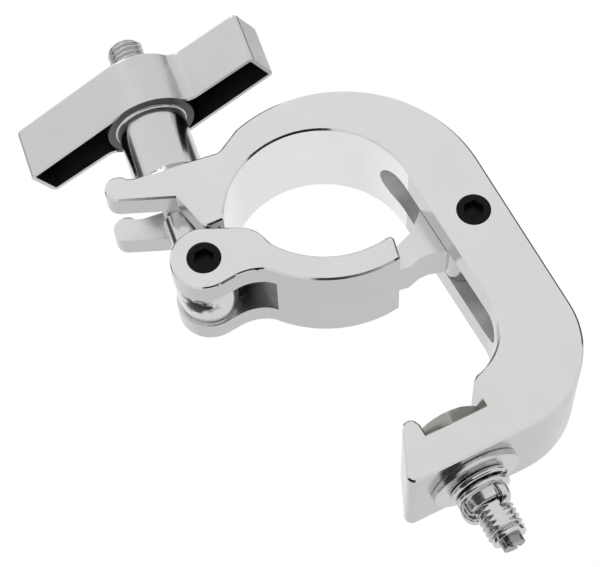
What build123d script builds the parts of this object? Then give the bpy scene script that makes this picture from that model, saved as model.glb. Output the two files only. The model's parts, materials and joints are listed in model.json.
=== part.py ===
"""Self-locking hook clamp for a 51 mm pipe, 30 mm wide, all sizes in millimetres.

Frame: the origin is the centre of the pipe seat at mid-width, Y runs along the pipe
(the front face is at -Y), +X points to the straight leg and +Z up, away from the load
bolt. The clamp is modelled closed and empty, with the jaw swung fully in.
"""
import os
from math import acos, atan2, cos, hypot, radians, sin

from build123d import *

os.makedirs("parts", exist_ok=True)

# ---------------------------------------------------------------- driving sizes
WIDTH = 30.0                 # along the pipe
SEAT_RADIUS = 25.5           # 51 mm pipe
EDGE = 0.5                   # broken edges of the aluminium parts

JAW_PIVOT = (35.6, -17.0)    # X, Z
BOLT_PIVOT = (-32.6, 2.7)    # X, Z
SWING_BOLT_ANGLE = 82.1      # from +X towards +Z
RUNNING_GAP = 0.08           # radial play of everything that turns on a pin

# hook
LEG_INNER_X = 26.0
LEG_OUTER_X = 44.2
BASE_Z = -76.5
BOW_CENTRE = (4.0, -4.4)
BOW_RADIUS = 39.8
CORNER_RADIUS = 24.5
NOSE_CENTRE = (-43.8, 31.5)
NOSE_RADIUS = 3.65
FORK_SLOT = 15.4
LEG_SLOT = 12.7
LEG_SLOT_TOP = 11.0
LEG_SLOT_BOTTOM = -46.5
CHANNEL_LEFT_X = -5.0
CHANNEL_WIDTH = 17.1         # takes a 17 mm hexagon
FLOOR_Z = -66.5

# jaw
JAW_CENTRE = (7.5, 12.9)
JAW_INNER_RADIUS = 27.0
JAW_OUTER_RADIUS = 33.85
KNUCKLE_RADIUS = 8.9
CLEVIS_SLOT = 15.4
TONGUE_WIDTH = 12.0
BOSS_RADIUS = 8.2

# pivot screws: a flush head at the front, a barrel nut from the back
HEAD_RADIUS = 4.55
HEAD_DEPTH = 3.0
BARREL_RADIUS = 3.8
SCREW_RADIUS = 2.5
SOCKET_ACROSS_FLATS = 5.0
SOCKET_DEPTH = 2.2

# swing bolt and handle, as heights above the bolt pivot along the bolt
EYE_RADIUS = 8.5
EYE_WIDTH = 15.0
NECK_RADIUS = 6.0
NECK_TOP = 21.0
THREAD_RADIUS = 5.0
BOLT_TIP = 78.6
HUB_BOTTOM = 31.2
WING_BOTTOM = 51.4
WING_TOP = 67.0
HANDLE_YAW = -28.5           # wings, from the plane of the hook
HUB_RADIUS = 9.6
HUB_CHAMFER = 1.4
HUB_FILLET = 0.8             # flare into the flat under the middle
SOLID_RADIUS = 12.3          # the hollows of the wings start here
MIDDLE_RADIUS = 12.9
WING_TIP = (35.2, 10.3)      # outer corner, its long side tangent to the middle
WING_INNER_SIDE = (-0.6, -1.9)   # at the root and at the tip
WING_ROOT_FILLET = 3.5
WING_TIP_FILLET = 1.5
TOP_FILLET = 1.0
WALL = 1.1
TOP_THICKNESS = 2.5
THRUST_RADIUS = 7.0
THRUST_THICKNESS = 1.6

# load bolt and its fittings, heights in Z
LOAD_X = CHANNEL_LEFT_X + CHANNEL_WIDTH / 2
HEX_ACROSS_FLATS = 17.0
HEX_HEIGHT = 5.4
SHANK_RADIUS = 4.9
LOAD_BOLT_PLAY = 0.2         # in the base
LOAD_THREAD_TOP = -80.0
LOAD_BOLT_END = -94.2
FLAT_DISTANCE = 3.9          # a flat along the thread, from the axis
FLAT_TURN = -92.0            # the way it faces, from +X towards +Y
FLAT_END = -92.8
WASHER_PLAY = 0.3            # round the thread
FLAT_WASHER_RADIUS = 12.0
FLAT_WASHER_THICKNESS = 2.0
SPRING_WASHER_RADIUS = 8.0
SPRING_WASHER_THICKNESS = 2.4
NUT_RADIUS = 7.5
NUT_HEIGHT = 3.6
NUT_YAW = -61.0              # first lobe, from +X towards +Y
LOBE_COUNT = 3
LOBE_OFFSET = 5.1
LOBE_DROP = 3.9
LOBE_HALF_WIDTH = 2.7
LOBE_HALF_HEIGHT = 3.7
LOBE_THICKNESS = 2.8
END_DISC_RADIUS = 4.6
END_DISC_THICKNESS = 1.2
STOP_SCREW_RADIUS = 1.5
STOP_SCREW_LENGTH = 6.0
STOP_HEAD_RADIUS = 3.0
STOP_HEAD_HEIGHT = 2.2
STOP_SLOT = 0.8

# ---------------------------------------------------------------- shared planes
HALF = WIDTH / 2
front = Plane.XZ             # sketch X is X, sketch Y is Z
axis_dir = (cos(radians(SWING_BOLT_ANGLE)), 0, sin(radians(SWING_BOLT_ANGLE)))
across_dir = (sin(radians(SWING_BOLT_ANGLE)), 0, -cos(radians(SWING_BOLT_ANGLE)))
bolt_base = Plane(
    origin=(BOLT_PIVOT[0], 0, BOLT_PIVOT[1]), x_dir=across_dir, z_dir=axis_dir
)
bolt_axis = Axis(bolt_base.origin, axis_dir)
handle_base = Plane(
    origin=bolt_base.origin,
    x_dir=bolt_base.x_dir * cos(radians(HANDLE_YAW)) + bolt_base.y_dir * sin(radians(HANDLE_YAW)),
    z_dir=axis_dir,
)


def save(part, label):
    """Label one finished piece and write it."""
    part.label = label
    export_step(part, f"parts/{label}.step")


def post(pivot, radius, y_from, y_to, mode=Mode.ADD):
    """Cylinder along Y, centred on a pivot given as X and Z."""
    with Locations((pivot[0], (y_from + y_to) / 2, pivot[1])):
        Cylinder(radius, y_to - y_from, rotation=(90, 0, 0), mode=mode)


def arc_point(centre, radius, angle):
    """Point of a circle in the XZ plane."""
    return (centre[0] + radius * cos(radians(angle)), centre[1] + radius * sin(radians(angle)))


# ---------------------------------------------------------------- hook body
with BuildPart() as hook_body:
    seat_start = arc_point((0, 0), SEAT_RADIUS, 155.5)
    leg_inner_low = (LEG_INNER_X + 0.9, -42.0)
    channel_right = CHANNEL_LEFT_X + CHANNEL_WIDTH
    corner = (LEG_OUTER_X - CORNER_RADIUS, BASE_Z + CORNER_RADIUS)
    bow_end = arc_point(BOW_CENTRE, BOW_RADIUS, 108.3)
    nose_top = arc_point(NOSE_CENTRE, NOSE_RADIUS, 28)
    nose_low = arc_point(NOSE_CENTRE, NOSE_RADIUS, 246)
    with BuildSketch(front) as hook_profile:
        with BuildLine():
            ThreePointArc(seat_start, (0, SEAT_RADIUS), (SEAT_RADIUS, 0))
            Line((SEAT_RADIUS, 0), leg_inner_low)
            ThreePointArc(leg_inner_low, (23.4, -52.0), (13.6, -58.4))
            Polyline(
                (13.6, -58.4), (channel_right, -59.6), (channel_right, FLOOR_Z),
                (CHANNEL_LEFT_X, FLOOR_Z), (CHANNEL_LEFT_X - 0.1, -63.6), (-6.2, -61.2),
                (-8.6, -61.2), (-9.7, -63.0), (-15.6, BASE_Z), (corner[0], BASE_Z),
            )
            ThreePointArc(
                (corner[0], BASE_Z), arc_point(corner, CORNER_RADIUS, -45), (LEG_OUTER_X, corner[1])
            )
            Line((LEG_OUTER_X, corner[1]), arc_point(BOW_CENTRE, BOW_RADIUS, 0))
            ThreePointArc(
                arc_point(BOW_CENTRE, BOW_RADIUS, 0), arc_point(BOW_CENTRE, BOW_RADIUS, 55), bow_end
            )
            Polyline(bow_end, (-15.6, 29.3), (-38.8, 32.5), nose_top)
            ThreePointArc(nose_top, arc_point(NOSE_CENTRE, NOSE_RADIUS, 137), nose_low)
            Polyline(nose_low, (-31.0, 21.9), (-28.5, 10.7), seat_start)
        make_face()
        for point, radius in (
            ((-15.6, 29.3), 3.0), ((-38.8, 32.5), 1.5), ((-28.5, 10.7), 2.0), ((-31.0, 21.9), 1.0),
            ((-15.6, BASE_Z), 2.0), ((-9.7, -63.0), 1.5), ((-8.6, -61.2), 1.7),
            ((-6.2, -61.2), 1.7), ((channel_right, -59.6), 0.8),
        ):
            nearest = hook_profile.vertices().sort_by_distance(Vector(*point))[0]
            fillet(nearest, radius)
    extrude(amount=HALF, both=True)
    rims = hook_body.faces().sort_by(Axis.Y)
    chamfer(rims[0].outer_wire().edges() + rims[-1].outer_wire().edges(), EDGE)
    # fork slot, closed at its inner end by a half round parallel to the bolt
    with BuildSketch(bolt_base.offset(7.0)):
        with Locations((-1.3, 0)):
            Circle(FORK_SLOT / 2)
            Rectangle(40, FORK_SLOT, align=(Align.MAX, Align.CENTER))
    extrude(amount=36, mode=Mode.SUBTRACT)
    # slot for the jaw's tongue, right through the leg
    slot_height = LEG_SLOT_TOP - LEG_SLOT_BOTTOM
    with BuildSketch(Plane.YZ.offset(15.0)):
        with Locations((0, (LEG_SLOT_TOP + LEG_SLOT_BOTTOM) / 2)):
            SlotOverall(slot_height, LEG_SLOT, rotation=90)
    extrude(amount=45, mode=Mode.SUBTRACT)
    # jaw pivot: a through hole and a flush seat for each head
    post(JAW_PIVOT, BARREL_RADIUS, -HALF, HALF, Mode.SUBTRACT)
    post(JAW_PIVOT, HEAD_RADIUS, -HALF, HEAD_DEPTH - HALF, Mode.SUBTRACT)
    post(JAW_PIVOT, HEAD_RADIUS, HALF - HEAD_DEPTH, HALF, Mode.SUBTRACT)
    # load bolt hole
    with BuildSketch(Plane.XY.offset(BASE_Z)):
        with Locations((LOAD_X, 0)):
            Circle(THREAD_RADIUS + LOAD_BOLT_PLAY)
    extrude(amount=FLOOR_Z - BASE_Z, mode=Mode.SUBTRACT)
save(hook_body.part, "hook_body")

# ---------------------------------------------------------------- jaw
with BuildPart() as jaw_arm:
    inner_start = arc_point(JAW_CENTRE, JAW_INNER_RADIUS, 212.0)
    inner_end = arc_point(JAW_CENTRE, JAW_INNER_RADIUS, 283.3)
    outer_start = arc_point(JAW_CENTRE, JAW_OUTER_RADIUS, 278.0)
    outer_end = arc_point(JAW_CENTRE, JAW_OUTER_RADIUS, 217.5)
    with BuildSketch(front) as jaw_profile:
        with BuildLine():
            Polyline(
                arc_point(BOLT_PIVOT, KNUCKLE_RADIUS, 64.5), (-17.1, 4.9), inner_start
            )
            ThreePointArc(
                inner_start, arc_point(JAW_CENTRE, JAW_INNER_RADIUS, 248), inner_end
            )
            Line(inner_end, outer_start)
            ThreePointArc(
                outer_start, arc_point(JAW_CENTRE, JAW_OUTER_RADIUS, 248), outer_end
            )
            Polyline(
                outer_end, (-24.6, -5.54), arc_point(BOLT_PIVOT, KNUCKLE_RADIUS, -85),
                BOLT_PIVOT, arc_point(BOLT_PIVOT, KNUCKLE_RADIUS, 64.5),
            )
        make_face()
        with Locations(BOLT_PIVOT):
            Circle(KNUCKLE_RADIUS)
        for point, radius in (
            ((-17.1, 4.9), 8.5), (inner_start, 6.0), (inner_end, 1.2), (outer_end, 8.0),
            ((-24.6, -5.54), 12.5),
        ):
            nearest = jaw_profile.vertices().sort_by_distance(Vector(*point))[0]
            fillet(nearest, radius)
    extrude(amount=HALF, both=True)
    rims = jaw_arm.faces().sort_by(Axis.Y)
    chamfer(rims[0].outer_wire().edges() + rims[-1].outer_wire().edges(), EDGE)
    # tongue, heel and boss that turn in the slot of the leg
    with BuildSketch(front) as tongue_profile:
        with BuildLine():
            Polyline(
                (9.0, -16.5), (13.2, -14.0), (20.1, -11.4), (22.3, -9.6), (26.5, -5.9),
                (29.4, -5.0), (36.5, -8.8), JAW_PIVOT, (31.0, -25.6), (26.4, -20.6),
                (21.9, -19.2), (19.0, -19.1), (15.4, -20.2), (9.0, -19.0), (9.0, -16.5),
            )
        make_face()
        with Locations(JAW_PIVOT):
            Circle(BOSS_RADIUS)
        with Locations((31.2, -20.6)):
            Circle(5.0)
    extrude(amount=TONGUE_WIDTH / 2, both=True)
    # clevis slot for the eye, with a ramp run out to the underside
    with BuildSketch(front):
        with BuildLine():
            Polyline(
                (-45, -12), (-18.0, -12), (-18.0, -9.0), (-22.4, -2.8), (-23.6, 4.0),
                (-23.6, 14), (-45, 14), close=True,
            )
        make_face()
    extrude(amount=CLEVIS_SLOT / 2, both=True, mode=Mode.SUBTRACT)
    # pivot holes; the one in the boss runs on the barrel
    post(JAW_PIVOT, BARREL_RADIUS + RUNNING_GAP, -HALF, HALF, Mode.SUBTRACT)
    post(BOLT_PIVOT, BARREL_RADIUS, -HALF, HALF, Mode.SUBTRACT)
    post(BOLT_PIVOT, HEAD_RADIUS, -HALF, HEAD_DEPTH - HALF, Mode.SUBTRACT)
    post(BOLT_PIVOT, HEAD_RADIUS, HALF - HEAD_DEPTH, HALF, Mode.SUBTRACT)
save(jaw_arm.part, "jaw_arm")


# ---------------------------------------------------------------- pivot screws
def pivot_set(name, pivot):
    """Socket screw from the front and the barrel nut that it threads into."""
    head_inside = HALF - HEAD_DEPTH
    with BuildPart() as screw:
        post(pivot, HEAD_RADIUS, -HALF, -head_inside)
        post(pivot, SCREW_RADIUS, -head_inside, head_inside - 4)
        with BuildSketch(Plane.XZ.offset(HALF)):
            with Locations(pivot):
                RegularPolygon(SOCKET_ACROSS_FLATS / 2, 6, major_radius=False)
        extrude(amount=-SOCKET_DEPTH, mode=Mode.SUBTRACT)
    save(screw.part, f"{name}_pivot_screw")
    with BuildPart() as barrel:
        post(pivot, HEAD_RADIUS, head_inside, HALF)
        post(pivot, BARREL_RADIUS, -head_inside, head_inside)
        post(pivot, SCREW_RADIUS, -head_inside, head_inside - 3, Mode.SUBTRACT)
        with BuildSketch(Plane.XZ.offset(-HALF)):
            with Locations(pivot):
                RegularPolygon(SOCKET_ACROSS_FLATS / 2, 6, major_radius=False)
        extrude(amount=SOCKET_DEPTH, mode=Mode.SUBTRACT)
    save(barrel.part, f"{name}_pivot_barrel")


pivot_set("jaw", JAW_PIVOT)
pivot_set("eyebolt", BOLT_PIVOT)

# ---------------------------------------------------------------- swing bolt
with BuildPart() as eye_bolt:
    with BuildSketch(front):
        with Locations(BOLT_PIVOT):
            Circle(EYE_RADIUS)
    extrude(amount=EYE_WIDTH / 2, both=True)
    chamfer(eye_bolt.edges().filter_by(GeomType.CIRCLE), EDGE)
    with BuildSketch(bolt_base):
        Circle(NECK_RADIUS)
    extrude(amount=NECK_TOP)
    with BuildSketch(bolt_base):
        Circle(THREAD_RADIUS)
    extrude(amount=BOLT_TIP)
    tip_rim = eye_bolt.edges().filter_by(GeomType.CIRCLE).sort_by(bolt_axis)[-1]
    chamfer(tip_rim, 1.0)
    post(BOLT_PIVOT, BARREL_RADIUS + RUNNING_GAP, -HALF, HALF, Mode.SUBTRACT)
save(eye_bolt.part, "eye_bolt")

with BuildPart() as thrust_washer:
    with BuildSketch(bolt_base.offset(HUB_BOTTOM)):
        Circle(THRUST_RADIUS)
        Circle(THREAD_RADIUS + RUNNING_GAP, mode=Mode.SUBTRACT)
    extrude(amount=THRUST_THICKNESS)
save(thrust_washer.part, "thrust_washer")


# ---------------------------------------------------------------- handle
with BuildPart() as t_handle:
    # plan: a round middle with one wing on each side, the second a half turn on
    reach = hypot(*WING_TIP)
    tangent_angle = atan2(WING_TIP[1], WING_TIP[0]) + acos(MIDDLE_RADIUS / reach)
    tangent_point = (MIDDLE_RADIUS * cos(tangent_angle), MIDDLE_RADIUS * sin(tangent_angle))
    inner_tip = (WING_TIP[0], WING_INNER_SIDE[1])
    inner_root = (0, WING_INNER_SIDE[0])
    with BuildSketch(handle_base.offset(WING_BOTTOM)) as wing_plan:
        Circle(MIDDLE_RADIUS)
        for half_turn in (0, 180):
            Polygon(tangent_point, WING_TIP, inner_tip, inner_root, rotation=half_turn, align=None)
        for side_sign in (-1, 1):
            for (x, y), radius in (
                ((MIDDLE_RADIUS, WING_INNER_SIDE[0]), WING_ROOT_FILLET),
                (WING_TIP, WING_TIP_FILLET),
                (inner_tip, WING_TIP_FILLET),
            ):
                corner_point = Vector(side_sign * x, side_sign * y)
                fillet(wing_plan.vertices().sort_by_distance(corner_point)[0], radius)
    extrude(amount=WING_TOP - WING_BOTTOM)
    top_rim = t_handle.faces().sort_by(bolt_axis)[-1]
    fillet(top_rim.outer_wire().edges(), TOP_FILLET)
    # hollow from below, round a solid middle
    with BuildSketch(handle_base.offset(WING_BOTTOM)):
        offset(wing_plan.sketch_local, amount=-WALL)
        Circle(SOLID_RADIUS, mode=Mode.SUBTRACT)
    extrude(amount=WING_TOP - WING_BOTTOM - TOP_THICKNESS, mode=Mode.SUBTRACT)
    with BuildSketch(bolt_base.offset(HUB_BOTTOM)):
        Circle(HUB_RADIUS)
    extrude(amount=WING_BOTTOM - HUB_BOTTOM)
    circles = t_handle.edges().filter_by(GeomType.CIRCLE)
    hub_rings = circles.filter_by(lambda ring: abs(ring.radius - HUB_RADIUS) < 0.01)
    fillet(hub_rings.sort_by(bolt_axis)[-1], HUB_FILLET)
    hub_rim = t_handle.edges().filter_by(GeomType.CIRCLE).sort_by(bolt_axis)[0]
    chamfer(hub_rim, HUB_CHAMFER)
    with BuildSketch(bolt_base.offset(HUB_BOTTOM)):
        Circle(THREAD_RADIUS + RUNNING_GAP)
    extrude(amount=WING_TOP - HUB_BOTTOM, mode=Mode.SUBTRACT)
    with BuildSketch(bolt_base.offset(HUB_BOTTOM)):
        Circle(THRUST_RADIUS + RUNNING_GAP)
    extrude(amount=THRUST_THICKNESS, mode=Mode.SUBTRACT)
save(t_handle.part, "t_handle")

# ---------------------------------------------------------------- load bolt
load_point = (LOAD_X, 0)
with BuildPart() as load_bolt:
    with BuildSketch(Plane.XY.offset(FLOOR_Z)):
        with Locations(load_point):
            RegularPolygon(HEX_ACROSS_FLATS / 2, 6, major_radius=False, rotation=30)
    extrude(amount=HEX_HEIGHT)
    # 30 degree chamfer of the hexagon's top corners
    chamfer_radius = 0.475 * HEX_ACROSS_FLATS
    with Locations((LOAD_X, 0, FLOOR_Z)):
        Cone(
            chamfer_radius + HEX_HEIGHT * 3**0.5, chamfer_radius, HEX_HEIGHT,
            align=(Align.CENTER, Align.CENTER, Align.MIN), mode=Mode.INTERSECT,
        )
    with BuildSketch(Plane.XY.offset(LOAD_THREAD_TOP)):
        with Locations(load_point):
            Circle(SHANK_RADIUS)
    extrude(amount=FLOOR_Z - LOAD_THREAD_TOP)
    with BuildSketch(Plane.XY.offset(LOAD_BOLT_END)):
        with Locations(load_point):
            Circle(THREAD_RADIUS)
    extrude(amount=LOAD_THREAD_TOP - LOAD_BOLT_END)
    chamfer(load_bolt.edges().filter_by(GeomType.CIRCLE).sort_by(Axis.Z)[0], 0.4)
    with BuildSketch(Plane.XY.offset(FLAT_END)):
        with Locations(Location((LOAD_X, 0, 0), (0, 0, FLAT_TURN)) * Location((FLAT_DISTANCE, 0, 0))):
            Rectangle(THREAD_RADIUS, 2 * THREAD_RADIUS, align=(Align.MIN, Align.CENTER))
    extrude(amount=LOAD_THREAD_TOP - FLAT_END, mode=Mode.SUBTRACT)
    with BuildSketch(Plane.XY.offset(LOAD_BOLT_END)):
        with Locations(load_point):
            Circle(STOP_SCREW_RADIUS)
    extrude(amount=STOP_SCREW_LENGTH, mode=Mode.SUBTRACT)
save(load_bolt.part, "load_bolt")


def ring(label, top, thickness, outer, inner):
    """Plain ring under the base, on the load bolt."""
    with BuildPart() as washer:
        with BuildSketch(Plane.XY.offset(top - thickness)):
            with Locations(load_point):
                Circle(outer)
                Circle(inner, mode=Mode.SUBTRACT)
        extrude(amount=thickness)
    save(washer.part, label)


spring_top = BASE_Z - FLAT_WASHER_THICKNESS
nut_top = spring_top - SPRING_WASHER_THICKNESS
ring("flat_washer", BASE_Z, FLAT_WASHER_THICKNESS, FLAT_WASHER_RADIUS, THREAD_RADIUS + WASHER_PLAY)
ring("bolt_end_disc", LOAD_BOLT_END, END_DISC_THICKNESS, END_DISC_RADIUS, STOP_SCREW_RADIUS)

with BuildPart() as spring_washer:
    with BuildSketch(Plane.XY.offset(nut_top)):
        with Locations(load_point):
            Circle(SPRING_WASHER_RADIUS)
            Circle(THREAD_RADIUS + WASHER_PLAY, mode=Mode.SUBTRACT)
    extrude(amount=SPRING_WASHER_THICKNESS)
    # the split
    with BuildSketch(Plane.XY.offset(nut_top)):
        with Locations((LOAD_X + SPRING_WASHER_RADIUS - 2, 0)):
            Rectangle(8, 0.8, rotation=20)
    extrude(amount=SPRING_WASHER_THICKNESS, mode=Mode.SUBTRACT)
save(spring_washer.part, "spring_washer")

with BuildPart() as wing_nut:
    with BuildSketch(Plane.XY.offset(nut_top - NUT_HEIGHT)):
        with Locations(load_point):
            Circle(NUT_RADIUS)
    extrude(amount=NUT_HEIGHT)
    for lobe in range(LOBE_COUNT):
        yaw = radians(NUT_YAW + lobe * 360 / LOBE_COUNT)
        lobe_plane = Plane(
            origin=(LOAD_X, 0, nut_top - LOBE_DROP),
            x_dir=(cos(yaw), sin(yaw), 0), z_dir=(sin(yaw), -cos(yaw), 0),
        )
        with BuildSketch(lobe_plane):
            with Locations((LOBE_OFFSET, 0)):
                Ellipse(LOBE_HALF_WIDTH, LOBE_HALF_HEIGHT)
        extrude(amount=LOBE_THICKNESS / 2, both=True)
    nut_low = nut_top - LOBE_DROP - LOBE_HALF_HEIGHT
    with BuildSketch(Plane.XY.offset(nut_low)):
        with Locations(load_point):
            Circle(THREAD_RADIUS + RUNNING_GAP)
    extrude(amount=nut_top - nut_low, mode=Mode.SUBTRACT)
save(wing_nut.part, "wing_nut")

with BuildPart() as retaining_screw:
    disc_low = LOAD_BOLT_END - END_DISC_THICKNESS
    with BuildSketch(Plane.XY.offset(disc_low)):
        with Locations(load_point):
            Circle(STOP_SCREW_RADIUS)
    extrude(amount=END_DISC_THICKNESS + STOP_SCREW_LENGTH)
    with BuildSketch(Plane.XY.offset(disc_low - STOP_HEAD_HEIGHT)):
        with Locations(load_point):
            Circle(STOP_HEAD_RADIUS)
    extrude(amount=STOP_HEAD_HEIGHT)
    with BuildSketch(Plane.XY.offset(disc_low - STOP_HEAD_HEIGHT)):
        with Locations(load_point):
            Rectangle(2 * STOP_HEAD_RADIUS + 1, STOP_SLOT, rotation=60)
    extrude(amount=STOP_HEAD_HEIGHT / 2, mode=Mode.SUBTRACT)
save(retaining_screw.part, "retaining_screw")
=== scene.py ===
"""Looks of the pipe clamp: polished alloy, plated bolts with real threads, studio light."""
import json
from math import acos, atan2, cos, hypot, pi, radians, sin

import bmesh
import bpy
from mathutils import Matrix, Vector

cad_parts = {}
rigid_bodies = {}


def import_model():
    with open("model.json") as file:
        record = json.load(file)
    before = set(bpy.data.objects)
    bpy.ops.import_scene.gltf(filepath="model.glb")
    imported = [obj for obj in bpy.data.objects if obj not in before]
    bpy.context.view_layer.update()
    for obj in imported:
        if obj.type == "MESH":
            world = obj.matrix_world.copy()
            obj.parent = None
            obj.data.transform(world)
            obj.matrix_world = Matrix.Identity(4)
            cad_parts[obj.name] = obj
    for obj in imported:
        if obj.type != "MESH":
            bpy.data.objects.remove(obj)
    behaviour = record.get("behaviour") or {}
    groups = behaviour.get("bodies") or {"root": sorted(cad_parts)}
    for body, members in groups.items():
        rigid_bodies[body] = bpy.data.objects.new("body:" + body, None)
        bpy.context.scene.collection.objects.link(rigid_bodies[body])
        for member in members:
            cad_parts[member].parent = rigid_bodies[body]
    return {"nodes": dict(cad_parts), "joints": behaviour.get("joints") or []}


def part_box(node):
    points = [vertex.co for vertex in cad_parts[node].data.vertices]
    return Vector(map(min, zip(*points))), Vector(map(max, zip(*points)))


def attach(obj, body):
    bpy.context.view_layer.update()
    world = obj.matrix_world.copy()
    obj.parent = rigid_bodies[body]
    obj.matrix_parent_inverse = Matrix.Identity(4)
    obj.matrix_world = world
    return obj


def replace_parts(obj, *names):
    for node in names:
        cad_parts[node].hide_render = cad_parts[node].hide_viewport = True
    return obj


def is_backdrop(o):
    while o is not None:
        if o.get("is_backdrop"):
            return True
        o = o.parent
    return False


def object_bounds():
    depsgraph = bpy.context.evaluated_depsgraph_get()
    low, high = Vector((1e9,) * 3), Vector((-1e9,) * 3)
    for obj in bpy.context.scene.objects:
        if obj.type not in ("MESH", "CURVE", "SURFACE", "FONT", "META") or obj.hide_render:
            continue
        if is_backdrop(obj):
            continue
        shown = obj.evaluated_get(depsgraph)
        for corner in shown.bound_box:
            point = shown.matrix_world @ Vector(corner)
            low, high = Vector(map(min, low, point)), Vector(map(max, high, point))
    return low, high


for old in list(bpy.data.objects):
    bpy.data.objects.remove(old)

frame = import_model()
cad_low, cad_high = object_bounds()
nodes = frame["nodes"]
scene = bpy.context.scene
MM = 0.001


# ---------------------------------------------------------------- node helpers
class Tree:
    """Short hand for the node tree of a new material, or of one that is there already."""

    def __init__(self, name, material=None):
        self.material = material or bpy.data.materials.new(name)
        self.material.use_nodes = True
        self.tree = self.material.node_tree
        self.shader = self.tree.nodes["Principled BSDF"]
        known = self.tree.nodes.get("Texture Coordinate")
        self.coords = known or self.tree.nodes.new("ShaderNodeTexCoord")

    def put(self, kind, inputs=None, **settings):
        node = self.tree.nodes.new(kind)
        for key, value in settings.items():
            setattr(node, key, value)
        for key, value in (inputs or {}).items():
            self.give(node.inputs[key], value)
        return node

    def give(self, socket, value):
        if isinstance(value, bpy.types.NodeSocket):
            self.tree.links.new(value, socket)
        else:
            socket.default_value = value

    def set(self, **values):
        for key, value in values.items():
            self.give(self.shader.inputs[key.replace("_", " ")], value)

    def noise(self, scale, detail=3.0, stretch=(1, 1, 1), rough=0.5):
        mapping = self.put(
            "ShaderNodeMapping", {"Vector": self.coords.outputs["Object"], "Scale": stretch}
        )
        return self.put(
            "ShaderNodeTexNoise",
            {"Vector": mapping.outputs[0], "Scale": scale, "Detail": detail, "Roughness": rough},
        ).outputs["Fac"]

    def ramp(self, value, low, high, out_low, out_high):
        return self.put(
            "ShaderNodeMapRange",
            {"Value": value, "From Min": low, "From Max": high,
             "To Min": out_low, "To Max": out_high},
        ).outputs["Result"]

    def math(self, operation, a, b=0.0):
        return self.put("ShaderNodeMath", {0: a, 1: b}, operation=operation).outputs[0]

    def mix(self, fac, a, b):
        return self.put("ShaderNodeMix", {0: fac, 2: a, 3: b}, data_type="FLOAT").outputs[0]

    def blend(self, fac, a, b):
        return self.put("ShaderNodeMix", {0: fac, 6: a, 7: b}, data_type="RGBA").outputs[2]

    def bump(self, height, distance, strength=1.0, normal=None):
        inputs = {"Height": height, "Distance": distance, "Strength": strength}
        if normal is not None:
            inputs["Normal"] = normal
        return self.put("ShaderNodeBump", inputs).outputs[0]


def alloy(name, base, rough_face, rough_side, side_shade=1.0, metal=1.0, blotch=0.015):
    """Polished extruded aluminium: buffed sawn faces, drawn lines along the extrusion.
    Sides that face the leg's way get painted shade: their colour is darkened to the share given by
    the argument after rough_side."""
    t = Tree(name)
    split = t.put("ShaderNodeSeparateXYZ", {"Vector": t.coords.outputs["Normal"]})
    face = t.ramp(t.math("ABSOLUTE", split.outputs["Y"]), 0.9, 0.97, 0.0, 1.0)
    cloud = t.noise(90, 4)
    fine = t.noise(2600, 2)
    drawn = t.noise(1500, 3, (1, 0.03, 1), 0.6)
    buffed = t.noise(1200, 3, (0.06, 1, 1), 0.6)
    lines = t.mix(face, drawn, buffed)
    patches = t.ramp(cloud, 0.35, 0.65, 0.0, 1.0)
    dim, lit = ([min(1, c * share) for c in base] for share in (1 - blotch, 1 + blotch))
    tint = t.blend(patches, (*dim, 1), (*lit, 1))
    # painted shade: sides whose normals point along +x are darkened
    if side_shade < 1.0:
        wander = t.ramp(drawn, 0.3, 0.7, -0.1, 0.1)
        outward_shade = t.ramp(t.math("ADD", split.outputs["X"], wander), 0.35, 0.70, 0.0, 1.0)
        tint = t.blend(outward_shade, tint, (*[c * side_shade for c in base], 1))
    rough = t.mix(face, rough_side, rough_face)
    rough = t.math("ADD", rough, t.ramp(cloud, 0.35, 0.65, -0.025, 0.025))
    rough = t.math("ADD", rough, t.ramp(lines, 0.3, 0.7, -0.02, 0.03))
    normal = t.bump(lines, 0.00002, 0.04)
    normal = t.bump(fine, 0.00001, 0.02, normal)
    t.set(Base_Color=tint, Metallic=metal, Roughness=rough, Normal=normal)
    return t.material


def plated(name, base, rough, wobble=0.0):
    """Bright zinc plate over steel, with faint clouds and a slightly uneven surface."""
    t = Tree(name)
    cloud = t.noise(160, 4)
    fine = t.noise(3000, 3)
    waves = t.noise(420, 2)
    dim, lit = ([min(1, c * share) for c in base] for share in (0.94, 1.04))
    tint = t.blend(cloud, (*dim, 1), (*lit, 1))
    roughness = t.math("ADD", t.ramp(cloud, 0.3, 0.7, -0.04, 0.05), rough)
    normal = t.bump(fine, 0.00001, 0.25)
    normal = t.bump(waves, 0.0001, wobble, normal)
    t.set(Base_Color=tint, Metallic=1.0, Roughness=roughness, Normal=normal)
    return t.material


def dark(name, base, rough, shine=0.5):
    """Black oxide, or painted shade on a skin that lies in the dark."""
    t = Tree(name)
    cloud = t.noise(300, 4)
    grain = t.noise(2200, 4)
    tint = t.blend(cloud, (*[c * 0.7 for c in base], 1), (*[c * 1.4 for c in base], 1))
    roughness = t.math("ADD", t.ramp(cloud, 0.3, 0.7, -0.06, 0.08), rough)
    t.set(
        Base_Color=tint, Metallic=0.0, Roughness=roughness, Specular_IOR_Level=shine,
        Normal=t.bump(grain, 0.00003, 0.4),
    )
    return t.material


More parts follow.
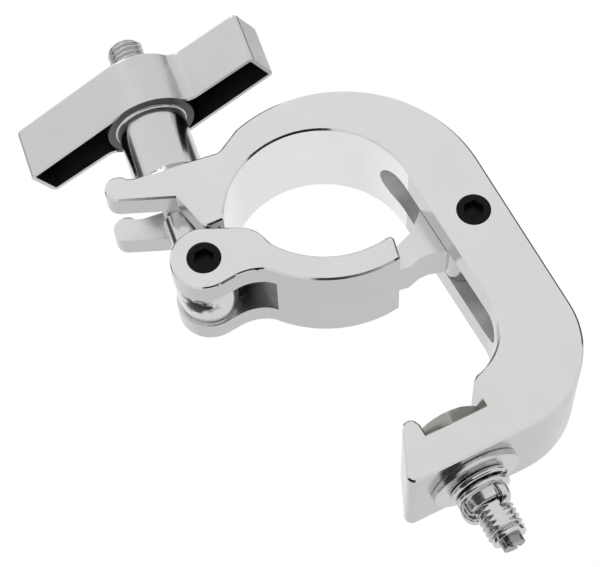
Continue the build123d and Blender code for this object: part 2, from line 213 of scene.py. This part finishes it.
ALLOY = alloy("polished_alloy", (0.72, 0.713, 0.703), 0.26, 0.14)
# sides of the extrusions: rougher skin, its darker tone painted shade
SKIN_SHADE = alloy("extruded_skin_painted_shade", (0.58, 0.578, 0.575), 0.26, 0.16, side_shade=0.5)
# painted shade: near-black alloy for the end of the clevis slot
SHADED = alloy("shaded_mill", (0.12, 0.12, 0.12), 0.35, 0.30, blotch=0.3)
# pipe seat: rougher machined alloy, its lighter tone painted light
SEAT_PAINTED_LIGHT = alloy("machined_seat_painted_light", (0.87, 0.87, 0.87), 0.26, 0.20)
HANDLE_ALLOY = alloy("polished_cast_alloy", (0.60, 0.595, 0.59), 0.30, 0.30)
HUB_ALLOY = alloy("turned_hub_alloy", (0.62, 0.615, 0.61), 0.15, 0.15)
# painted shade: dark ring under the wings, round the hub
UNDER_SHADE = dark("underside_painted_shade", (0.060, 0.060, 0.062), 0.35)
# milled finish, rougher and less metallic; its darker tone is painted shade in the slot
MILLED_SHADE = alloy("milled_alloy_painted_shade", (0.55, 0.55, 0.55), 0.45, 0.40, metal=0.3, blotch=0.25)
# painted shade: near black inside the hollow wings
CAVITY_SHADE = dark("cavity_painted_shade", (0.010, 0.010, 0.011), 0.45)
PLATED = plated("bright_zinc", (0.66, 0.665, 0.67), 0.13, 0.12)
SATIN = plated("satin_zinc", (0.66, 0.665, 0.67), 0.22, 0.12)
THREADED = plated("rolled_thread_zinc", (0.60, 0.60, 0.605), 0.24, 0.05)
HEAD_STEEL = plated("head_zinc", (0.37, 0.372, 0.35), 0.24, 0.05)
MIRROR = plated("mirror_zinc", (0.72, 0.72, 0.72), 0.06, 0.35)
BLACK = dark("black_oxide", (0.003, 0.003, 0.0035), 0.25, 0.12)
DARK_STEEL = plated("dark_steel", (0.30, 0.30, 0.31), 0.22, 0.1)


def painted_reflection_spot(material, centre, spread):
    """Adds a dark spot of painted reflection to a plated material; its centre and spread in metres.
    """
    t = Tree(material.name, material)
    here = t.coords.outputs["Object"]
    away = t.put("ShaderNodeVectorMath", {0: here, 1: centre}, operation="SUBTRACT")
    scaled = t.put("ShaderNodeVectorMath", {0: away.outputs[0], 1: spread}, operation="DIVIDE")
    length = t.put("ShaderNodeVectorMath", {0: scaled.outputs[0]}, operation="LENGTH")
    reach = length.outputs["Value"]
    reach = t.math("ADD", reach, t.ramp(t.noise(560, 5), 0.3, 0.7, -0.34, 0.34))
    off_spot = t.ramp(reach, 0.60, 1.15, 0.0, 1.0)
    tint = t.shader.inputs["Base Color"].links[0].from_socket
    t.set(Base_Color=t.blend(off_spot, (0.004, 0.004, 0.004, 1), tint))


# painted reflection: a dark spot on the barrel of the eye
REFLECTION_SPOT_CENTRE, REFLECTION_SPOT_SPREAD = (-0.0383, -0.0024, -0.0034), (0.0050, 0.0036, 0.0042)
painted_reflection_spot(MIRROR, REFLECTION_SPOT_CENTRE, REFLECTION_SPOT_SPREAD)


# ---------------------------------------------------------------- mesh helpers
def place(origin, x_axis, z_axis):
    """Matrix of a local frame given in metres."""
    z = Vector(z_axis).normalized()
    x = Vector(x_axis)
    x = (x - z * x.dot(z)).normalized()
    y = z.cross(x)
    matrix = Matrix((x, y, z)).transposed().to_4x4()
    matrix.translation = Vector(origin)
    return matrix


def shade(mesh, angle=32):
    """Smooth shading with sharp edges above an angle."""
    if "custom_normal" in mesh.attributes:
        mesh.attributes.remove(mesh.attributes["custom_normal"])
    mesh.polygons.foreach_set("use_smooth", [True] * len(mesh.polygons))
    mesh.set_sharp_from_angle(angle=radians(angle))


def make(name, bm, material, angle=32):
    """New object from a bmesh."""
    bmesh.ops.recalc_face_normals(bm, faces=bm.faces)
    mesh = bpy.data.meshes.new(name)
    bm.to_mesh(mesh)
    bm.free()
    mesh.materials.append(material)
    shade(mesh, angle)
    obj = bpy.data.objects.new(name, mesh)
    scene.collection.objects.link(obj)
    return obj


def turn(bm, matrix, rings, sectors=96, closed=False):
    """Adds a turned solid. Each ring is (height, radius), millimetres, the radius a number
    or a function of the angle. A closed outline joins its last ring to its first."""
    rows = []
    for height, radius in rings:
        row = []
        for k in range(sectors):
            angle = 2 * pi * k / sectors
            r = radius(angle) if callable(radius) else radius
            point = matrix @ Vector((r * cos(angle) * MM, r * sin(angle) * MM, height * MM))
            row.append(bm.verts.new(point))
        rows.append(row)
    pairs = list(zip(rows, rows[1:]))
    if closed:
        pairs.append((rows[-1], rows[0]))
    for low, high in pairs:
        for k in range(sectors):
            n = (k + 1) % sectors
            bm.faces.new((low[k], low[n], high[n], high[k]))
    if not closed:
        bm.faces.new(rows[0][::-1])
        bm.faces.new(rows[-1])


def mirrored(side, middle=()):
    """Rings of a solid that is alike above and below height 0, from those of one side."""
    return [(-height, radius) for height, radius in side] + list(middle) + side[::-1]


def apply_all(obj):
    """Replaces an object's mesh with its evaluated mesh."""
    depsgraph = bpy.context.evaluated_depsgraph_get()
    mesh = bpy.data.meshes.new_from_object(obj.evaluated_get(depsgraph))
    obj.modifiers.clear()
    obj.data = mesh


def combine(target, tool, operation):
    """Exact boolean of two objects, the second of which is then removed."""
    mod = target.modifiers.new("combine", "BOOLEAN")
    mod.object = tool
    mod.operation = operation
    mod.solver = "EXACT"
    apply_all(target)
    bpy.data.objects.remove(tool)


def soften(obj, width, segments=2, angle=35):
    """Small broken edges on a CAD node, by modifiers only."""
    shade(obj.data, angle)
    weld = obj.modifiers.new("weld", "WELD")
    weld.merge_threshold = 1e-6
    bevel = obj.modifiers.new("edges", "BEVEL")
    bevel.width = width * MM
    bevel.segments = segments
    bevel.limit_method = "ANGLE"
    bevel.angle_limit = radians(angle)
    even = obj.modifiers.new("even", "WEIGHTED_NORMAL")
    even.keep_sharp = True


def paint(obj, *materials):
    obj.data.materials.clear()
    for material in materials:
        obj.data.materials.append(material)


# ---------------------------------------------------------------- where things are
HANDLE_YAW = radians(-28.5)
joints = {j["name"]: j for j in frame["joints"]}
eye = Vector(joints["bolt_swing"]["pos_m"])
bolt_dir = Vector(joints["handle_travel"]["axis"]).normalized()
load = Vector(joints["wing_nut_spin"]["pos_m"])
base_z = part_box("flat_washer")[1].z
bolt_frame = place(eye, (1, 0, 0), bolt_dir)
handle_frame = bolt_frame @ Matrix.Rotation(HANDLE_YAW, 4, "Z")
load_frame = place((load.x, 0, base_z), (1, 0, 0), (0, 0, -1))


# ---------------------------------------------------------------- threads
PITCH, CREST, ROOT = 1.5, 5.0, 4.1
ROOT_SHARE, FLANK_SHARE = 0.16, 0.70
STEPS_PER_PITCH = 12


def thread(start, end, chamfer):
    """Rings of a right-hand M10 thread between two heights, chamfered at its end."""
    steps = int((end - start) / PITCH * STEPS_PER_PITCH)
    rings = []
    for k in range(steps + 1):
        height = start + (end - start) * k / steps

        def radius(angle, height=height):
            turns = (height - start) / PITCH - angle / (2 * pi)
            near = abs((turns % 1.0) - 0.5) * 2
            rise = min(1.0, max(0.0, (near - ROOT_SHARE) / FLANK_SHARE))
            r = ROOT + (CREST - ROOT) * rise
            return min(r, CREST - max(0.0, height - (end - chamfer)))

        rings.append((height, radius))
    return rings


# swing bolt: forged eye, plain neck and thread, heights from the middle of the eye
PIN_HOLE = 3.88
NECK = [(3.0, 6.0), (20.4, 6.0), (21.0, 5.4), (21.3, 4.6)]
EYE_SIDE = [(7.5, PIN_HOLE), (7.5, 7.3), (7.2, 7.75), (6.2, 8.1), (4.2, 8.35), (2.0, 8.47)]
NECK_FROM, THREAD_FROM = 0.0095, 0.0212
bm = bmesh.new()
turn(bm, bolt_frame, NECK + thread(21.6, 78.6, chamfer=1.4), 72)
swing_bolt = make("swing_bolt", bm, MIRROR)
eye_frame = place(eye, (1, 0, 0), (0, -1, 0))
bm = bmesh.new()
turn(bm, eye_frame, mirrored(EYE_SIDE, [(0, 8.5)]), 96, closed=True)
barrel = make("barrel", bm, MIRROR)
combine(swing_bolt, barrel, "UNION")
# clear the pin hole of the neck
bm = bmesh.new()
turn(bm, eye_frame, [(-9, PIN_HOLE), (9, PIN_HOLE)], 96)
drill = make("drill", bm, MIRROR)
combine(swing_bolt, drill, "DIFFERENCE")
shade(swing_bolt.data, 40)
swing_bolt.data.materials.append(PLATED)
swing_bolt.data.materials.append(THREADED)
for polygon in swing_bolt.data.polygons:
    along = (polygon.center - eye).dot(bolt_dir)
    polygon.material_index = 2 if along > THREAD_FROM else 1 if along > NECK_FROM else 0
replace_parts(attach(swing_bolt, "swing_bolt"), "eye_bolt")


# load bolt: chamfered hexagon, shank and thread, heights down from the base
HEX_HALF = 8.5
HEAD_TOP, HEAD_CORNER = -15.4, 8.0
CHAMFER_DEPTH, CHAMFER_STEPS = 1.1, 8
FLAT_ANGLE, FLAT_DISTANCE, FLAT_END = radians(92), 3.9, 16.2
FLAT_REACH = 0.75


def hexagon(angle):
    return HEX_HALF / cos((angle + pi / 6) % (pi / 3) - pi / 6)


def flatted(height, radius):
    """Ring of the load bolt's thread, cut back to the flat along it."""
    def cut(angle):
        facing = cos(angle - FLAT_ANGLE)
        r = radius(angle)
        return min(r, FLAT_DISTANCE / facing) if facing > FLAT_REACH and height < FLAT_END else r
    return (height, cut)


head = [(HEAD_TOP, 7.2)]
for k in range(CHAMFER_STEPS + 1):
    fall = CHAMFER_DEPTH * k / CHAMFER_STEPS
    head.append(
        (HEAD_TOP + fall, lambda a, fall=fall: min(hexagon(a), HEAD_CORNER + fall * 3 ** 0.5))
    )
head += [
    (-10.4, hexagon), (-10.0, lambda a: hexagon(a) - 0.25), (-10.0, 4.9), (3.5, 4.9), (3.8, 4.5),
]
load_thread = [flatted(*ring) for ring in thread(4.0, 17.7, chamfer=0.5)]
bm = bmesh.new()
turn(bm, load_frame, head + load_thread, 96)
load_bolt = make("load_bolt_threaded", bm, THREADED)
load_bolt.data.materials.append(HEAD_STEEL)
load_bolt.data.materials.append(PLATED)
flat_facing = load_frame.to_3x3() @ Vector((cos(FLAT_ANGLE), sin(FLAT_ANGLE), 0))
for polygon in load_bolt.data.polygons:
    if polygon.center.z > base_z:
        polygon.material_index = 1
    elif polygon.normal.dot(flat_facing) > 0.995:
        polygon.material_index = 2
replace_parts(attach(load_bolt, "hook"), "load_bolt")

# split spring washer: one turn of a square wire, its ends a little apart
TURN_STEPS = 120
SPLIT_AT, SPLIT_SPAN = radians(24), radians(352)
WIRE_HEIGHT, WIRE_RISE = 2.15, 0.45
WIRE = (
    (5.35, 0.15), (5.6, 0), (7.3, 0), (7.8, 0.3), (7.98, 0.9), (7.8, 1.55), (7.3, 1.85), (5.5, 1.85),
)
bm = bmesh.new()
rows = []
for k in range(TURN_STEPS + 1):
    share = k / TURN_STEPS
    angle = SPLIT_AT + share * SPLIT_SPAN
    lift = WIRE_HEIGHT + (share - 0.5) * WIRE_RISE
    row = []
    for r, h in WIRE:
        point = Vector((r * cos(angle) * MM, r * sin(angle) * MM, (lift + h) * MM))
        row.append(bm.verts.new(load_frame @ point))
    rows.append(row)
for one, two in zip(rows, rows[1:]):
    for k in range(len(WIRE)):
        n = (k + 1) % len(WIRE)
        bm.faces.new((one[k], one[n], two[n], two[k]))
bm.faces.new(rows[0])
bm.faces.new(rows[-1][::-1])
spring = make("split_washer", bm, PLATED, 50)
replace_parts(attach(spring, "washers"), "spring_washer")

# nut of the load bolt: round flanged body with three lobes, cast, so every corner is soft
NUT_YAW, NUT_DROP = radians(61.0), 4.4
BORE = 5.08
NUT_BODY = [
    (0.05, 4.6), (0.05, 7.1), (0.3, 7.45), (1.2, 7.45), (1.5, 7.0), (1.7, 6.2), (3.2, 5.9),
    (4.4, 5.8), (4.8, 5.5), (4.8, 4.6),
]
LOBES, LOBE_OUT, LOBE_DOWN, LOBE_WIDTH = 3, 5.1, 3.9, 0.72
LOBE_SIDE = [
    (0.9, 0.2), (0.95, 1.6), (1.2, 2.4), (1.38, 2.85), (1.3, 3.2), (0.9, 3.5), (0.3, 3.68),
]
nut_frame = load_frame @ Matrix.Rotation(NUT_YAW, 4, "Z")
nut_frame = nut_frame @ Matrix.Translation((0, 0, NUT_DROP * MM))
bm = bmesh.new()
turn(bm, nut_frame, NUT_BODY, 96, closed=True)
for number in range(LOBES):
    lobe = nut_frame @ Matrix.Rotation(number * 2 * pi / LOBES, 4, "Z")
    lobe = lobe @ Matrix.Translation((LOBE_OUT * MM, 0, LOBE_DOWN * MM))
    lobe = lobe @ Matrix.Rotation(radians(90), 4, "X") @ Matrix.Diagonal((LOBE_WIDTH, 1, 1, 1))
    turn(bm, lobe, mirrored(LOBE_SIDE), 64)
nut = make("wing_nut_cast", bm, SATIN)
remesh = nut.modifiers.new("remesh", "REMESH")
remesh.mode = "VOXEL"
remesh.voxel_size = 0.14 * MM
smooth = nut.modifiers.new("smooth", "SMOOTH")
smooth.factor = 0.5
smooth.iterations = 6
apply_all(nut)
bm = bmesh.new()
turn(bm, nut_frame, [(-2, BORE), (14, BORE)], 96)
drill = make("drill", bm, PLATED)
combine(nut, drill, "DIFFERENCE")
shade(nut.data, 50)
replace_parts(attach(nut, "nut"), "wing_nut")

# ---------------------------------------------------------------- CAD nodes that stay
KEPT_NODES = (
    ("hook_body", (ALLOY, MILLED_SHADE), 0.22), ("jaw_arm", (ALLOY, SHADED), 0.22),
    ("flat_washer", (SATIN,), 0.3), ("thrust_washer", (PLATED,), 0.15),
    ("bolt_end_disc", (PLATED,), 0.15), ("retaining_screw", (DARK_STEEL,), 0.15),
    ("jaw_pivot_screw", (BLACK,), 0.3), ("eyebolt_pivot_screw", (BLACK,), 0.3),
    ("jaw_pivot_barrel", (PLATED,), 0.3), ("eyebolt_pivot_barrel", (PLATED,), 0.3),
)
for name, materials, width in KEPT_NODES:
    paint(nodes[name], *materials)
    soften(nodes[name], width)


def milled(name, inside):
    """Faces that a cutter left: second material slot of a CAD node, a darker tone that is painted
    shade.
    """
    obj = nodes[name]
    for polygon in obj.data.polygons:
        if inside(polygon.center / MM, polygon.normal):
            polygon.material_index = 1


# sides of the extrusions, darker as painted shade, and the pipe's seat in them, lighter as painted
# light: centre x, centre z and reach
SEATS = {"hook_body": (0.0, 0.0, 26.0), "jaw_arm": (7.5, 12.9, 27.6)}
for name, (x, z, reach) in SEATS.items():
    mesh = nodes[name].data
    mesh.materials.append(SKIN_SHADE)
    mesh.materials.append(SEAT_PAINTED_LIGHT)
    for polygon in mesh.polygons:
        spot = polygon.center / MM
        if abs(polygon.normal.y) < 0.5:
            # the seat gets the lighter slot, painted light; the other sides get the darker slot,
            # painted shade
            polygon.material_index = 3 if hypot(spot.x - x, spot.z - z) < reach else 2

CLEVIS_END = ((-18.0, -9.0), (-22.4, -2.8), (-23.6, 4.0), (-23.6, 14.0))


def in_leg_slot(p, n):
    return abs(p.y) < 6.4 and p.x > 24.5 and -46.6 < p.z < 11.1 and abs(n.x) < 0.3


def in_clevis(p, n):
    """On the end of the clevis slot, which is one broken line seen from the front."""
    if abs(p.y) > 7.75 or abs(n.y) > 0.1:
        return False
    for (x0, z0), (x1, z1) in zip(CLEVIS_END, CLEVIS_END[1:]):
        off_line = (p.x - x0) * (z1 - z0) - (p.z - z0) * (x1 - x0)
        if abs(off_line) < 0.005 * hypot(x1 - x0, z1 - z0):
            return True
    return False


# walls of the leg slot: milled finish with painted shade
milled("hook_body", in_leg_slot)
# the end of the clevis slot: painted shade
milled("jaw_arm", in_clevis)

# handle: hollow wings painted near black inside as shade, turned hub, painted shade on the underside
# round the hub
handle = nodes["t_handle"]
paint(handle, HANDLE_ALLOY, CAVITY_SHADE, HUB_ALLOY, UNDER_SHADE)
to_handle = handle_frame.inverted()
WING_TIP, WING_CORNER = Vector((35.2, 10.3)), Vector((35.2, -1.9))
MIDDLE = 12.9
WING_LOW, CEILING = 51.4, 64.5
HOLLOW_FROM, SKIRT = 12.0, 13.2
tangent = atan2(WING_TIP.y, WING_TIP.x) + acos(MIDDLE / WING_TIP.length)
PLAN = (
    (Vector((MIDDLE * cos(tangent), MIDDLE * sin(tangent))), WING_TIP),
    (WING_TIP, WING_CORNER),
    (WING_CORNER, Vector((0, -0.6))),
)


def depth_in_wing(u, v):
    """Distance from a point to the nearest side of the wing's plan, negative outside."""
    here = Vector((abs(u), v if u > 0 else -v))
    depths = []
    for start, end in PLAN:
        along = (end - start).normalized()
        depths.append((here.x - start.x) * along.y - (here.y - start.y) * along.x)
    return min(depths)


for polygon in handle.data.polygons:
    u, v, w = (to_handle @ polygon.center) / MM
    off_u, off_v, off_w = to_handle.to_3x3() @ polygon.normal
    reach = hypot(u, v)
    if WING_LOW + 0.1 < w < CEILING + 0.1 and reach > HOLLOW_FROM:
        inside = depth_in_wing(u + 0.3 * off_u, v + 0.3 * off_v) > 0.4
        # inside the hollow wings: painted shade
        polygon.material_index = 1 if inside else 0
    elif abs(w - WING_LOW) < 0.05 and reach < SKIRT:
        # flat ring under the wings round the hub: painted shade
        polygon.material_index = 3
    elif w < WING_LOW:
        polygon.material_index = 2
soften(handle, 0.35)

# ---------------------------------------------------------------- light
world = bpy.data.worlds.new("studio")
scene.world = world
world.use_nodes = True
tree = world.node_tree
tree.nodes.clear()


def world_node(kind, inputs=None, **settings):
    node = tree.nodes.new(kind)
    for key, value in settings.items():
        setattr(node, key, value)
    for key, value in (inputs or {}).items():
        if isinstance(value, bpy.types.NodeSocket):
            tree.links.new(value, node.inputs[key])
        else:
            node.inputs[key].default_value = value
    return node


def world_math(operation, a, b=0.0):
    return world_node("ShaderNodeMath", {0: a, 1: b}, operation=operation).outputs[0]


def world_ramp(value, low, high, out_low, out_high, **settings):
    return world_node(
        "ShaderNodeMapRange",
        {"Value": value, "From Min": low, "From Max": high, "To Min": out_low, "To Max": out_high},
        **settings,
    ).outputs["Result"]


direction = world_node("ShaderNodeTexCoord").outputs["Generated"]
parts = world_node("ShaderNodeSeparateXYZ", {"Vector": direction})
height = parts.outputs["Z"]
# two dark flags, at the left and the right of the object
squares = [world_math("POWER", parts.outputs[axis], 2.0) for axis in "XY"]
flat = world_math("SQRT", world_math("ADD", *squares))
back = world_math("DIVIDE", parts.outputs["Y"], flat)
off_middle = world_math("ABSOLUTE", world_math("SUBTRACT", back, 0.22))
flag = world_ramp(off_middle, 0.16, 0.36, 1.0, 0.0, interpolation_type="SMOOTHSTEP")
sky = world_ramp(height, -0.7, 0.7, 0.75, 1.0)
low = world_ramp(height, 0.60, 0.78, 0.93, 0.0, interpolation_type="SMOOTHSTEP")
level = world_math("MULTIPLY", sky, world_math("SUBTRACT", 1.0, world_math("MULTIPLY", flag, low)))
path = world_node("ShaderNodeLightPath")
seen = path.outputs["Is Camera Ray"]
light = world_node("ShaderNodeMix", {0: seen, 2: level, 3: 1.0}, data_type="FLOAT")
ground = world_node("ShaderNodeBackground", {"Color": (1, 1, 1, 1), "Strength": light.outputs[0]})
tree.links.new(ground.outputs[0], world_node("ShaderNodeOutputWorld").inputs["Surface"])

# floor, far below the hanging clamp
FLOOR_HALF, FLOOR_DROP = 6.0, 0.30
floor_z = cad_low.z - FLOOR_DROP
floor_mesh = bpy.data.meshes.new("floor")
floor_mesh.from_pydata(
    [(x * FLOOR_HALF, y * FLOOR_HALF, floor_z) for x, y in ((-1, -1), (1, -1), (1, 1), (-1, 1))],
    [], [(0, 1, 2, 3)],
)
floor = bpy.data.objects.new("floor", floor_mesh)
scene.collection.objects.link(floor)
pale = Tree("pale_floor")
pale.set(Base_Color=(0.92, 0.92, 0.92, 1), Roughness=0.9)
floor_mesh.materials.append(pale.material)
floor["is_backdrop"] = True


def lamp(name, at, aim, size, power):
    data = bpy.data.lights.new(name, "AREA")
    data.shape = "RECTANGLE"
    data.size, data.size_y = size
    data.energy = power
    data.spread = radians(180)
    obj = bpy.data.objects.new(name, data)
    obj.location = at
    obj.rotation_mode = "QUATERNION"
    obj.rotation_quaternion = (Vector(aim) - Vector(at)).to_track_quat("-Z", "Y")
    obj.visible_camera = False
    scene.collection.objects.link(obj)


def card(name, tone, corners):
    """Dark card that is seen in the polished metal only."""
    ink = Tree(name)
    ink.set(Base_Color=(tone, tone, tone, 1), Roughness=1.0, Specular_IOR_Level=0.0)
    mesh = bpy.data.meshes.new(name)
    mesh.from_pydata(corners, [], [(0, 1, 2, 3)])
    mesh.materials.append(ink.material)
    obj = bpy.data.objects.new(name, mesh)
    scene.collection.objects.link(obj)
    obj.visible_camera = False
    obj.visible_shadow = False
    obj.visible_diffuse = False
    obj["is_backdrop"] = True


lamp("key", (-0.15, -0.45, 1.1), (0, 0, 0), (0.4, 0.4), 1.2)
# below the front, for the dark line along the lower edges
card("low_flag", 0.01, [
    (-0.25, -0.42, -0.32), (0.35, -0.42, -0.32), (0.35, -0.165, -0.355), (-0.25, -0.165, -0.355),
])
# left of the load bolt, for the dark side of its thread and washers
card("left_flag", 0.06, [
    (-0.024, -0.07, -0.12), (-0.024, -0.008, -0.12), (-0.024, -0.008, -0.0725),
    (-0.024, -0.07, -0.0725),
])

# ---------------------------------------------------------------- camera
CAMERA_AT = (-0.104897, -0.474681, -0.225500)
CAMERA_FORWARD = (0.177048, 0.895086, 0.409236)
CAMERA_UP = (0.413419, -0.444978, 0.794405)
camera_data = bpy.data.cameras.new("camera")
camera = bpy.data.objects.new("camera", camera_data)
scene.collection.objects.link(camera)
camera_data.sensor_width = 36.0
camera_data.lens = 120.75
camera_data.clip_start = 0.01
camera_data.clip_end = 50
forward = Vector(CAMERA_FORWARD).normalized()
camera.matrix_world = place(CAMERA_AT, forward.cross(Vector(CAMERA_UP)), -forward)
scene.camera = camera
scene.view_settings.view_transform = "Standard"

low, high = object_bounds()
